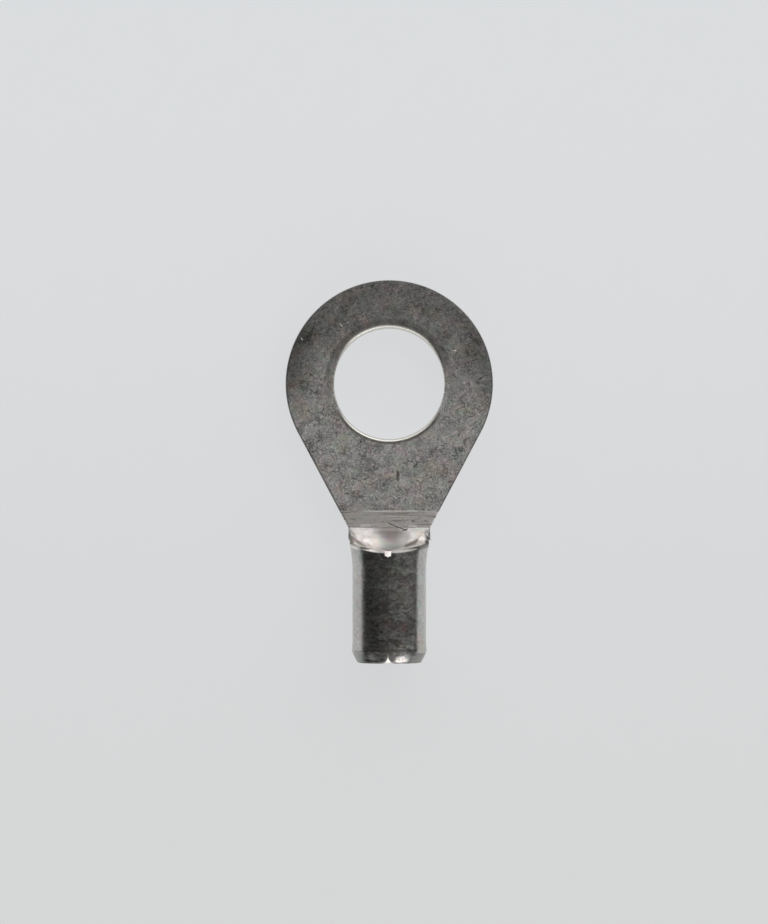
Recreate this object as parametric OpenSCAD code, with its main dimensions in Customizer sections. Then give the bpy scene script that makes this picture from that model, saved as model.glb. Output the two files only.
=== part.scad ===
// Bare ring terminal: one stamped piece of tinned copper sheet, with a flat ring tongue
// for a stud and a wire barrel that is rolled round and brazed along its seam.
// The origin is the centre of the stud hole on the tongue's underside. +Z is up, the
// seam is on top, and the barrel points along -Y. Lengths are in millimetres.

/* [Tongue] */
// Thickness of the sheet
stock_t = 0.8; // [0.5:0.05:1.1]
// Width of the ring
ring_d = 12; // [10:0.1:16]
// Bore of the stud hole
stud_hole_d = 6.4; // [4.3:0.1:8.4]
// Width of the neck where it meets the barrel's throat
neck_w = 4.75; // [3.6:0.05:5.6]
// From the stud hole's centre to the bend line at the end of the neck
neck_l = 8.4; // [7.4:0.1:14]
// Rounding that the punch leaves on the upper edge of the outline
edge_roll = 0.12; // [0.04:0.01:0.2]
// Rounding that the punch leaves on the upper edge of the stud hole
hole_roll = 0.16; // [0.04:0.01:0.3]

/* [Throat] */
// From the bend line to where the sheet is fully rolled round and the barrel starts
throat_l = 2.1; // [1.8:0.05:3]
// From the bend line to where the sheet has curled about two thirds of the way
curl_l = 0.62; // [0.5:0.01:0.75]
// How much wider than round the throat is where it opens, as a share of its width
oval = 0.1; // [0:0.01:0.15]
// How far the barrel's underside lies below the tongue's underside
drop = 0.4; // [0.1:0.05:0.6]
// From the bend line to where the floor has come down by that much
drop_l = 1.5; // [1:0.05:1.7]
// Share of the curl that the sheet takes at once, in the crease at the bend line
crease = 0.12; // [0:0.01:0.2]
// Length of that crease
crease_l = 0.12; // [0.06:0.01:0.3]
// How much the flat blank narrows between the bend line and the mouth
waist = 0.15; // [0:0.01:0.2]
// Fillet between the waist and the mouth's edge in the flat blank
mouth_fillet = 0.3; // [0.1:0.05:0.5]
// From the bend line to the barrel's mouth where it leaves the waist
mouth_side = 1; // [0.85:0.05:1.1]
// From the bend line to the barrel's mouth at the seam
mouth_seam = 1.42; // [1.2:0.02:1.5]
// Radius of the blank's corners at the mouth, which leave a notch at the seam
mouth_corner_r = 0.3; // [0.05:0.05:0.35]

/* [Barrel] */
// Outside diameter of the barrel
barrel_od = 4.25; // [3.4:0.05:5.5]
// Length of the round barrel, from the throat's end to the wire end
barrel_l = 5.6; // [5:0.1:9]
// Gap between the sheet's two edges where the seam opens towards the mouth
seam_gap = 0.08; // [0.04:0.01:0.2]
// Depth of the groove that the braze leaves along the seam
seam_groove = 0.1; // [0.04:0.01:0.25]

/* [Wire end] */
// Length of the coined bevel round the outside of the wire end
bevel_l = 0.64; // [0.3:0.02:1]
// Depth of that bevel
bevel_d = 0.28; // [0.1:0.02:0.32]
// Chamfer round the inside of the wire end
entry_chamfer = 0.2; // [0.1:0.02:0.3]
// How far the barrel swells just ahead of the bevel
swell = 0.04; // [0.01:0.01:0.1]
// Length over which it swells
swell_l = 0.6; // [0.3:0.05:1]
// Radius of the blank's corners at the wire end, which leave a notch at the seam
corner_r = 0.5; // [0.3:0.05:0.8]

/* [Serrations] */
// Number of grip grooves round the inside of the barrel
serrations = 3; // [1:1:4]
// From one groove to the next
serration_pitch = 1.1; // [0.8:0.05:1.4]
// Width of a groove at the bore
serration_w = 0.4; // [0.2:0.05:0.6]
// Depth of a groove
serration_d = 0.1; // [0.05:0.01:0.2]

/* [Hidden] */
$fn = 96;
tin = [0.5, 0.49, 0.48];
cut = 1; // how far cutters run past the faces that they cut
hair = 0.005; // keeps two faces that meet from lying on each other or only touching
ring_r = ring_d / 2;
barrel_r = barrel_od / 2;
bore_r = barrel_r - stock_t;
mid_r = barrel_r - stock_t / 2;
barrel_z = barrel_r - drop; // height of the barrel's axis
barrel_y = neck_l + throat_l; // where the round barrel starts, towards -Y
half_girth = PI * mid_r - seam_gap / 2; // from the barrel's underside round to the seam

// The neck's sides run from the neck's corners to the ring, which they cross by a hair
// where a true tangent would only touch it.
neck_corner = [neck_w / 2, -neck_l];
tangent_r = ring_r - hair;
side_l = sqrt(pow(norm(neck_corner), 2) - pow(tangent_r, 2));
side_a = atan2(neck_corner.y, neck_corner.x) + atan2(side_l, tangent_r);
side_start = tangent_r * [cos(side_a), sin(side_a)];

// ---- Tongue ----

module ring_and_neck() {
    cylinder(r = ring_r, h = stock_t);
    linear_extrude(stock_t)
    polygon([side_start, neck_corner, [-neck_corner.x, neck_corner.y],
             [-side_start.x, side_start.y], [0, 0]]);
}

// Section of the waste along a rolled edge, whose corner is at the origin: a
// quarter circle of radius r in three straight cuts.
module roll_waste(r) {
    polygon([for (a = [0 : 30 : 90]) r * [sin(a) - 1, cos(a) - 1],
             [cut, -r], [cut, cut], [-r, cut]]);
}

// What the rolled edge takes off the ring's outline, between the neck's two sides.
module ring_edge_waste() {
    translate([0, 0, stock_t])
    rotate([0, 0, side_a])
    rotate_extrude(angle = 180 - 2 * side_a)
    translate([ring_r, 0])
    roll_waste(edge_roll);
}

// What it takes off the neck's right side, where it fades out towards the bend line.
module neck_edge_waste() {
    fade_a = asin(edge_roll / side_l);
    lead_in = edge_roll;
    translate([side_start.x, side_start.y, stock_t])
    rotate([90, 0, side_a + fade_a])
    translate([0, 0, -lead_in])
    linear_extrude(side_l + lead_in + cut)
    roll_waste(edge_roll);
}

module tongue() {
    difference() {
        ring_and_neck();
        translate([0, 0, -cut])
        cylinder(d = stud_hole_d, h = stock_t + 2 * cut);
        ring_edge_waste();
        for (side = [0, 1])
            mirror([side, 0, 0])
            neck_edge_waste();
        translate([0, 0, stock_t])
        rotate_extrude()
        translate([stud_hole_d / 2, 0])
        mirror([1, 0])
        roll_waste(hole_roll);
    }
}

// ---- Throat: the sheet curls from flat to round ----
// A point of the blank is [u, v]: u is the distance round the sheet from its centre
// line, and v the distance from the bend line towards the barrel.

// Share of the barrel's curvature that the sheet has reached at v.
function curled(v) =
    crease * (1 - exp(-v / crease_l)) + (1 - crease) * (1 - exp(-pow(v / curl_l, 2.3)));
function curl(v) = min(curled(v) / curled(throat_l), 1);

// Height of the throat's floor, which slopes down from the tongue to the barrel.
function floor_z(v) =
    let (s = min(v / drop_l, 1))
    stock_t - drop * s * s * (3 - 2 * s);

// Where a point of the blank lies once the sheet is rolled, at a depth below the
// sheet's upper face.
function rolled(p, depth) =
    let (
        share = max(curl(p[1]), 0.000001),
        r = mid_r / share - stock_t / 2 + depth,
        a = p[0] * share / mid_r * 180 / PI,
        widening = 1 + oval * share * max(1 - p[1] / throat_l, 0)
    )
    [r * sin(a) * widening, -neck_l - p[1], floor_z(p[1]) - depth + 2 * r * pow(sin(a / 2), 2)];

// Edge of the blank's right half, from the middle of the bend line to the seam: the
// bend line, the waist with its fillet, the mouth's slanted edge and its corner.
bend_steps = 9;
waist_steps = 8;
mouth_steps = 9;
corner_steps = 3;
half_steps = bend_steps + waist_steps + mouth_steps + corner_steps;
flow_steps = 12;
lap = 0.1; // how far the throat runs into the barrel's wall

half_w = neck_w / 2;
mouth_start = [half_w + mouth_fillet, mouth_side];
mouth_end = [half_girth - mouth_corner_r, mouth_seam];
corner_c = mouth_end + [0, mouth_corner_r];
function waist_point(t) =
    pow(1 - t, 3) * [half_w, 0]
    + 3 * pow(1 - t, 2) * t * [half_w - 2 * waist, mouth_side / 2]
    + 3 * (1 - t) * t * t * [half_w - waist, mouth_side]
    + pow(t, 3) * mouth_start;
right_edge = [
    for (i = [0 : bend_steps - 1]) [half_w * i / bend_steps, 0],
    for (i = [0 : waist_steps - 1]) waist_point(i / waist_steps),
    for (i = [0 : mouth_steps - 1]) mouth_start + (mouth_end - mouth_start) * i / mouth_steps,
    for (i = [0 : corner_steps])
        let (a = 90 * i / corner_steps) corner_c + mouth_corner_r * [sin(a), -cos(a)]
];

// Point i of the flow line that runs from station k of the blank's edge to the barrel.
// Stations count from -half_steps at the left of the seam to half_steps at its right.
function flow_point(k, i) =
    let (
        from = right_edge[abs(k)],
        to = [half_girth * abs(k) / half_steps, throat_l + lap],
        p = from + (to - from) * pow(i / flow_steps, 1.5)
    )
    [sign(k) * p[0], p[1]];

module throat() {
    columns = 2 * half_steps + 1;
    rows = flow_steps + 1;
    layer = columns * rows;
    function at(face, column, row) = face * layer + column * rows + row;
    function quad(a, b, c, d) = [[a, c, b], [a, d, c]];
    flow = [for (k = [-half_steps : half_steps]) for (i = [0 : flow_steps]) flow_point(k, i)];
    points = [for (depth = [hair, stock_t - hair]) for (p = flow) rolled(p, depth)];
    faces = [
        for (c = [0 : columns - 2]) for (r = [0 : rows - 2]) each concat(
            quad(at(0, c, r), at(0, c, r + 1), at(0, c + 1, r + 1), at(0, c + 1, r)),
            quad(at(1, c, r), at(1, c + 1, r), at(1, c + 1, r + 1), at(1, c, r + 1))
        ),
        for (c = [0 : columns - 2]) each concat(
            quad(at(0, c, 0), at(0, c + 1, 0), at(1, c + 1, 0), at(1, c, 0)),
            quad(at(0, c + 1, rows - 1), at(0, c, rows - 1), at(1, c, rows - 1), at(1, c + 1, rows - 1))
        ),
        for (r = [0 : rows - 2]) each concat(
            quad(at(0, 0, r), at(1, 0, r), at(1, 0, r + 1), at(0, 0, r + 1)),
            quad(at(1, columns - 1, r), at(0, columns - 1, r), at(0, columns - 1, r + 1), at(1, columns - 1, r + 1))
        )
    ];
    polyhedron(points = points, faces = faces, convexity = 6);
}

// ---- Barrel ----

// Half section of the barrel's wall: x is the radius, and y the distance from the throat.
module wall_section() {
    bevel_start = barrel_l - bevel_l;
    difference() {
        polygon([
            [bore_r, 0],
            [barrel_r, 0],
            [barrel_r, bevel_start - swell_l],
            [barrel_r + swell, bevel_start],
            [barrel_r - bevel_d, barrel_l],
            [bore_r + entry_chamfer, barrel_l],
            [bore_r, barrel_l - entry_chamfer]
        ]);
        for (i = [0 : serrations - 1])
            translate([bore_r, barrel_l / 2 + (i - (serrations - 1) / 2) * serration_pitch])
            polygon([[0, -serration_w / 2], [serration_d, -serration_w / 4],
                     [serration_d, serration_w / 4], [0, serration_w / 2]]);
    }
}

// Plan of the notch between the blank's two rounded corners, with its mouth at y = 0.
module corner_notch() {
    difference() {
        translate([-corner_r, -cut])
        square([2 * corner_r, corner_r + cut]);
        for (side = [-1, 1])
            translate([side * (corner_r + seam_gap / 2), corner_r])
            circle(r = corner_r);
        for (side = [-1, 1])
            translate([side * (corner_r + seam_gap / 2 + cut), 0])
            square([2 * cut, 2 * corner_r], center = true);
    }
}

module barrel() {
    difference() {
        translate([0, -barrel_y, barrel_z])
        rotate([90, 0, 0])
        rotate_extrude()
        wall_section();

        // Groove along the brazed seam
        translate([0, -barrel_y + cut, barrel_z + barrel_r])
        rotate([90, 0, 0])
        linear_extrude(barrel_l + 2 * cut)
        polygon([[0, -seam_groove], [seam_groove, cut], [-seam_groove, cut]]);

        // Notch at the wire end
        translate([0, -barrel_y - barrel_l, barrel_z])
        linear_extrude(barrel_r + cut)
        corner_notch();
    }
}

module ring_terminal() {
    color(tin) {
        tongue();
        throat();
        barrel();
    }
}

ring_terminal();
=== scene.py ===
"""Bare ring terminal, dressed for its beauty shot.

The terminal is made here as the real one is: a flat blank is stamped out of tin-plated
copper sheet, its edges are rounded by the punch, and the blank is then rolled round into
the wire barrel, whose seam is brazed. The blank is drawn in millimetres on its own plane,
with u across the sheet and v from the bend line towards the wire end, and forming puts it
in place in metres, in the frame of the CAD model.
"""

import logging
import math
from dataclasses import dataclass, field
from enum import Enum
from typing import Callable, Sequence

import bmesh
import bpy
import numpy as np
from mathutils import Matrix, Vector

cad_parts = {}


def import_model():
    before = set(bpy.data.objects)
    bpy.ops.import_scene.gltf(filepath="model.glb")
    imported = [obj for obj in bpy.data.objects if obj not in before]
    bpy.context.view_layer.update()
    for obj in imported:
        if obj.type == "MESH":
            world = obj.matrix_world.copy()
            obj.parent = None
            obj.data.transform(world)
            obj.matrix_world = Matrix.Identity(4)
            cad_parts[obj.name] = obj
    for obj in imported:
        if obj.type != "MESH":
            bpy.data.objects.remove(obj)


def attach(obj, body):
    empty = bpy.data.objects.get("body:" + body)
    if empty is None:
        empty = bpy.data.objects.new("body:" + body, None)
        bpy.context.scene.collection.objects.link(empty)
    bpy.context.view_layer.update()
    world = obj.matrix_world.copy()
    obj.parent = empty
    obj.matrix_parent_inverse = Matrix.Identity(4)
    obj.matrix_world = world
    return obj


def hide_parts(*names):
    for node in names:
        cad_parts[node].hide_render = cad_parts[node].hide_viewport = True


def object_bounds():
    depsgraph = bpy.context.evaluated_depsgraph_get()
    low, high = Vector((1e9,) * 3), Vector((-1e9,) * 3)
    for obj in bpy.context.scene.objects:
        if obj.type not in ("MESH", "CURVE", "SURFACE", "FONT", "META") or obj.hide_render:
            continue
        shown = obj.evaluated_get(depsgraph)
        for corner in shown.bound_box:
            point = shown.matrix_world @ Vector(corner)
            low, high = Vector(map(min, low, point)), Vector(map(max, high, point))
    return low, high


MM = 0.001
NODE = "ring_terminal"
BODY = "root"
UV_NAME = "blank"

Span = tuple[float, float]
Element = bmesh.types.BMEdge | bmesh.types.BMFace

log = logging.getLogger("ring_terminal")


# ---------------------------------------------------------------- small tools


def smooth(x: np.ndarray, low: float, high: float) -> np.ndarray:
    """Eases from 0 at low to 1 at high."""
    t = np.clip((x - low) / (high - low), 0.0, 1.0)
    return t * t * (3 - 2 * t)


class Bench:
    """The workbench: edit-mode operators on one mesh at a time."""

    @staticmethod
    def clear() -> None:
        """Deselects everything, since an operator acts on all that is selected."""
        if bpy.context.mode != "OBJECT":
            Bench.close()
        bpy.ops.object.select_all(action="DESELECT")

    @staticmethod
    def hold(obj: bpy.types.Object) -> None:
        """Makes obj the only selected and active object."""
        Bench.clear()
        obj.select_set(True)
        bpy.context.view_layer.objects.active = obj

    @staticmethod
    def edit(obj: bpy.types.Object, mode: str = "FACE", everything: bool = False) -> None:
        """Opens obj in edit mode.

        Args:
            obj: the mesh object to open.
            mode: VERT, EDGE or FACE, what is picked.
            everything: whether all of it is selected, or nothing.
        """
        Bench.hold(obj)
        bpy.ops.object.mode_set(mode="EDIT")
        bpy.ops.mesh.select_mode(type=mode)
        bpy.ops.mesh.select_all(action="SELECT" if everything else "DESELECT")

    @staticmethod
    def close() -> None:
        """Leaves edit mode."""
        bpy.ops.object.mode_set(mode="OBJECT")

    @staticmethod
    def pick(obj: bpy.types.Object, kind: str, rule: Callable[[Element], bool]) -> None:
        """Selects the edges or faces that a rule takes, in edit mode.

        Args:
            obj: the mesh object that is open.
            kind: "edges" or "faces".
            rule: says of an edge or face whether it is taken.
        """
        mesh = bmesh.from_edit_mesh(obj.data)
        bpy.ops.mesh.select_all(action="DESELECT")
        for element in getattr(mesh, kind):
            if rule(element):
                element.select_set(True)
        bmesh.update_edit_mesh(obj.data)

    @staticmethod
    def points(obj: bpy.types.Object) -> np.ndarray:
        """The vertices of obj's mesh, one row each."""
        flat = np.empty(len(obj.data.vertices) * 3)
        obj.data.vertices.foreach_get("co", flat)
        return flat.reshape(-1, 3)

    @staticmethod
    def place(obj: bpy.types.Object, points: np.ndarray) -> None:
        """Moves the vertices of obj's mesh.

        Args:
            obj: the mesh object, in object mode.
            points: where the vertices go, one row each.
        """
        obj.data.vertices.foreach_set("co", np.ascontiguousarray(points, dtype=np.float64).ravel())
        obj.data.update()

    @staticmethod
    def outward(obj: bpy.types.Object) -> None:
        """Turns the faces of a closed mesh outward."""
        Bench.edit(obj, everything=True)
        bpy.ops.mesh.normals_make_consistent(inside=False)
        Bench.close()

    @staticmethod
    def measure(obj: bpy.types.Object) -> tuple[int, int, int]:
        """Counts what obj's mesh is made of.

        Args:
            obj: the mesh object, in object mode.

        Returns:
            Its faces, its triangles, and its edges that are open or shared by too many faces.
        """
        mesh = bmesh.new()
        mesh.from_mesh(obj.data)
        found = (
            len(mesh.faces),
            sum(len(face.verts) - 2 for face in mesh.faces),
            sum(not edge.is_manifold for edge in mesh.edges),
        )
        mesh.free()
        return found


# ---------------------------------------------------------------- the sheet


class Rim(Enum):
    """The stretches of the blank's cut edge that the tools treat differently."""

    HOLE = "stud hole"
    OUTLINE = "ring, neck and waist"
    MOUTH = "barrel mouth"
    SEAM = "seam"
    WIRE_END = "wire end"


@dataclass(frozen=True)
class Roll:
    """How far the edge is rounded over, on each face of the sheet, in millimetres."""

    upper: float
    lower: float


@dataclass
class Blank:
    """The stamped blank, flat, in millimetres."""

    stock_t: float = 0.8
    ring_r: float = 6.0
    hole_r: float = 3.2
    neck_w: float = 4.75
    neck_l: float = 8.32
    throat_l: float = 2.18
    waist: float = 0.15
    mouth_fillet: float = 0.3
    mouth_side: float = 0.86
    mouth_seam: float = 1.25
    mouth_corner_r: float = 0.04
    mouth_notch_w: float = 0.28
    mouth_notch_l: float = 0.39
    barrel_od: float = 4.25
    barrel_l: float = 5.6
    seam_gap: float = 0.03
    corner_r: float = 0.36
    notch_corner: float = 0.048
    notch_reach: float = 1.0
    # mesh layout: cells across and along, and the rows of the sleeve past the bend line
    strip_cells: int = 12
    wing_cells: int = 20
    neck_cells: int = 20
    ring_cells: int = 80
    radial_cuts: int = 10
    rim_cell: float = 0.3
    rim_band: float = 0.18
    crease_rows: Sequence[float] = (
        0.0, 0.035, 0.07, 0.11, 0.16, 0.22, 0.29, 0.37, 0.46, 0.56, 0.67,
    )
    mouth_rows: Sequence[float] = (0.225, 0.262, 0.5, 0.75)
    even_rows: Span = (2.6, 6.4)
    even_step: float = 0.2
    end_rows: Sequence[float] = (0.27, 0.508, 0.74, 1.0)
    barrel_strip_u: float = 2.72
    fan_in: Span = (0.8, 2.4)
    waist_share: float = 0.75
    waist_steps: int = 200
    fillet_steps: int = 40
    merge_gap: float = 0.0005

    @property
    def mid_r(self) -> float:
        """Radius of the barrel's wall at the middle of the sheet."""
        return self.barrel_od / 2 - self.stock_t / 2

    @property
    def half_girth(self) -> float:
        """From the barrel's underside round to the seam."""
        return math.pi * self.mid_r - self.seam_gap / 2

    @property
    def end_v(self) -> float:
        """From the bend line to the wire end."""
        return self.throat_l + self.barrel_l

    def waist_curve(self, t: np.ndarray) -> np.ndarray:
        """Points of the right edge from the bend line to the mouth, as in the CAD source.

        Args:
            t: shares of the way, from 0 to 1.

        Returns:
            One row of u and v for each share.
        """
        half_w = self.neck_w / 2
        control = np.array([
            [half_w, 0.0],
            [half_w - 2 * self.waist, self.mouth_side / 2],
            [half_w - self.waist, self.mouth_side],
            [half_w + self.mouth_fillet, self.mouth_side],
        ])
        t = np.asarray(t, float)[:, None]
        weights = np.hstack([(1 - t) ** 3, 3 * (1 - t) ** 2 * t, 3 * (1 - t) * t**2, t**3])
        return weights @ control

    def mouth_v(self, u: np.ndarray) -> np.ndarray:
        """Where the mouth's edge lies at a distance u from the centre line, corners left square.

        Args:
            u: distances from the centre line, past the waist.

        Returns:
            The distance from the bend line for each.
        """
        curve = self.waist_curve(np.linspace(self.waist_share, 1.0, self.fillet_steps))
        end = curve[-1, 0]
        slope = (self.mouth_seam - self.mouth_side) / (self.half_girth - self.rim_cell - end)
        straight = self.mouth_side + slope * (u - end)
        return np.where(u < end, np.interp(u, curve[:, 0], curve[:, 1]), straight)

    def neck_side(self) -> tuple[float, float, float]:
        """The straight side of the neck, which meets the ring at a tangent.

        Returns:
            Its angle at the ring in radians, and the point where it meets the ring.
        """
        corner = np.array([self.neck_w / 2, -self.neck_l])
        length = math.sqrt(corner @ corner - self.ring_r**2)
        angle = math.atan2(corner[1], corner[0]) + math.atan2(length, self.ring_r)
        return angle, self.ring_r * math.cos(angle), self.ring_r * math.sin(angle)

    def outline(self) -> np.ndarray:
        """Points round the tongue, from the bend line's right end anticlockwise.

        Returns:
            One row of x and y each, in the tongue's plane, about the stud hole.
        """
        angle, x, y = self.neck_side()
        half_w, bend_y = self.neck_w / 2, -self.neck_l
        side = np.linspace([half_w, bend_y], [x, y], self.neck_cells, endpoint=False)
        turn = np.linspace(angle, math.pi - angle, self.ring_cells, endpoint=False)
        ring = self.ring_r * np.column_stack([np.cos(turn), np.sin(turn)])
        back = np.linspace([-x, y], [-half_w, bend_y], self.neck_cells, endpoint=False)
        columns = self.strip_columns() * half_w
        bend = np.column_stack([columns, np.full(len(columns), bend_y)])
        return np.vstack([side, ring, back, bend[:-1]])

    def strip_columns(self) -> np.ndarray:
        """Columns across the throat's neck, as shares from -1 to 1, wider beside the edges."""
        last = 1 - self.rim_cell / (self.neck_w / 2)
        half = np.append(np.linspace(0.0, last, self.strip_cells), 1.0)
        return np.append(-half[:0:-1], half)

    # ---- the flat sheet

    def cut_tongue(self) -> bpy.types.Object:
        """The tongue: the hole's edge is drawn, pulled out to the outline and filled between.

        Returns:
            The flat tongue.
        """
        outline = self.outline()
        count = len(outline)
        Bench.clear()
        bpy.ops.mesh.primitive_circle_add(vertices=count, radius=self.hole_r, fill_type="NOTHING")
        tongue = bpy.context.active_object
        tongue.name = "tongue_blank"
        Bench.edit(tongue, "EDGE", everything=True)
        bpy.ops.mesh.extrude_edges_move()
        Bench.close()
        spots = Bench.points(tongue)
        angle = np.arctan2(spots[:, 1], spots[:, 0])
        station = np.round((angle / (2 * math.pi) + 0.25) * count).astype(int) % count
        turn = np.arctan2(outline[:, 1], outline[:, 0])
        inner = self.hole_r * np.column_stack([np.cos(turn), np.sin(turn)])
        outer = np.zeros(len(spots), bool)
        tongue.data.vertices.foreach_get("select", outer)
        flat = np.where(outer[:, None], outline[station], inner[station])
        Bench.place(tongue, np.column_stack([flat + (0.0, self.neck_l), np.zeros(len(flat))]))
        Bench.edit(tongue, "EDGE")
        Bench.pick(tongue, "edges", lambda edge: len(edge.link_faces) == 2)
        bpy.ops.mesh.subdivide(number_cuts=self.radial_cuts)
        Bench.close()
        return tongue

    def cut_sleeve(self) -> bpy.types.Object:
        """The sheet past the bend line, which becomes the throat and the barrel.

        Returns:
            The flat sleeve, with square corners at the seam.
        """
        strip, wing = self.strip_cells, self.wing_cells
        across = strip + wing
        first_row, last_row = self.even_rows
        body = np.arange(first_row, last_row + self.even_step / 20, self.even_step)
        mouth_row = len(self.crease_rows)
        body_row = mouth_row + len(self.mouth_rows) + 1
        end_row = body_row + len(body)
        rows = end_row + len(self.end_rows) - 1
        Bench.clear()
        bpy.ops.mesh.primitive_grid_add(x_subdivisions=2 * across, y_subdivisions=rows, size=2.0)
        sleeve = bpy.context.active_object
        sleeve.name = "sleeve_blank"
        spots = Bench.points(sleeve)
        i = np.round(spots[:, 0] * across).astype(int)
        j = np.round((1 - spots[:, 1]) / 2 * rows).astype(int)

        waist = self.waist_curve(np.linspace(0.0, self.waist_share, self.waist_steps))
        corner_u, corner_v = waist[-1]
        strip_u = self.strip_columns()[strip:]
        girth, step_end = self.half_girth, self.half_girth - self.rim_cell
        top_u, low_u = (
            np.concatenate([strip_u * edge, np.linspace(edge, step_end, wing)[1:], [girth]])
            for edge in (corner_u, self.barrel_strip_u)
        )
        top_v = np.append(np.full(strip + 1, corner_v), self.mouth_v(top_u[strip + 1:]))

        a, side = np.abs(i), np.sign(i)
        row_v = np.append(self.crease_rows, corner_v)
        v = np.zeros(len(spots))
        u = np.zeros(len(spots))
        upper = j <= mouth_row
        row = np.minimum(j, mouth_row)
        half = np.interp(row_v[row], waist[:, 1], waist[:, 0])
        inside = np.minimum(a, strip)
        v[upper] = row_v[row[upper]]
        u[upper] = (strip_u[inside] * half)[upper]
        at_mouth = (j == mouth_row) & (a > strip)
        u[at_mouth], v[at_mouth] = top_u[a[at_mouth]], top_v[a[at_mouth]]
        for n, part in enumerate(self.mouth_rows, start=mouth_row + 1):
            hit = j == n
            v[hit] = top_v[a[hit]] + (first_row - top_v[a[hit]]) * part
        for n, level in enumerate(body, start=body_row):
            v[j == n] = level
        for n, part in enumerate(self.end_rows, start=end_row):
            v[j == n] = last_row + (self.end_v - last_row) * part
        lower = j > mouth_row
        blend = smooth(v, *self.fan_in)
        u[lower] = (top_u[a] * (1 - blend) + low_u[a] * blend)[lower]
        Bench.place(sleeve, np.column_stack([side * u, -v, np.zeros(len(v))]))

        spare = (a > strip) & (j < mouth_row)
        Bench.edit(sleeve)
        Bench.pick(sleeve, "faces", lambda face: any(spare[vert.index] for vert in face.verts))
        bpy.ops.mesh.delete(type="FACE")
        Bench.close()
        return sleeve

    def stamp(self) -> bpy.types.Object:
        """Stamps the whole blank: one flat plate with fine rows along its cut edges.

        Returns:
            The flat plate, closed, with its upper face at height 0.
        """
        tongue, sleeve = self.cut_tongue(), self.cut_sleeve()
        Bench.hold(tongue)
        sleeve.select_set(True)
        bpy.ops.object.join()
        plate = bpy.context.active_object
        Bench.edit(plate, everything=True)
        bpy.ops.mesh.remove_doubles(threshold=self.merge_gap)
        bpy.ops.mesh.normals_make_consistent(inside=False)
        bpy.ops.mesh.inset(thickness=self.rim_band, depth=0.0, use_boundary=True,
                           use_even_offset=True)
        rim = {vert.index for vert in bmesh.from_edit_mesh(plate.data).verts if vert.is_boundary}
        Bench.pick(plate, "edges", lambda edge: sum(vert.index in rim for vert in edge.verts) == 1)
        bpy.ops.mesh.subdivide(number_cuts=1)
        bpy.ops.mesh.select_all(action="SELECT")
        bpy.ops.mesh.subdivide(number_cuts=1)
        Bench.close()
        spots = Bench.points(plate)
        self.round_corners(spots)
        Bench.place(plate, spots)
        return plate

    def round_corners(self, spots: np.ndarray) -> None:
        """Rounds the square corners at the seam to quarter discs, and cuts the mouth's notch.

        Args:
            spots: the flat plate's vertices, changed in place.
        """
        side, u, v = np.sign(spots[:, 0]), np.abs(spots[:, 0]), -spots[:, 1]
        for r, depth, way in (
            (self.mouth_corner_r, v - self.mouth_v(u), 1.0),
            (self.corner_r, self.end_v - v, -1.0),
        ):
            x, y = u - (self.half_girth - r), r - depth
            hit = (x > 0) & (y > 0) & (v > self.mouth_side)
            length = np.hypot(x, y)
            share = np.where(hit, np.maximum(x, y) / np.maximum(length, 1e-9), 1.0)
            u = np.where(hit, self.half_girth - r + x * share, u)
            v = np.where(hit, v + way * (y - y * share), v)
        notch_end = self.mouth_seam + self.mouth_notch_l
        back = (self.mouth_notch_w - self.seam_gap) / 2
        back = back * (1 - smooth(v, notch_end - self.notch_corner, notch_end))
        back = back * smooth(u, self.half_girth - self.notch_reach, self.half_girth)
        u = np.where(v > self.mouth_side, u - back, u)
        spots[:, 0], spots[:, 1] = side * u, -v


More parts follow.
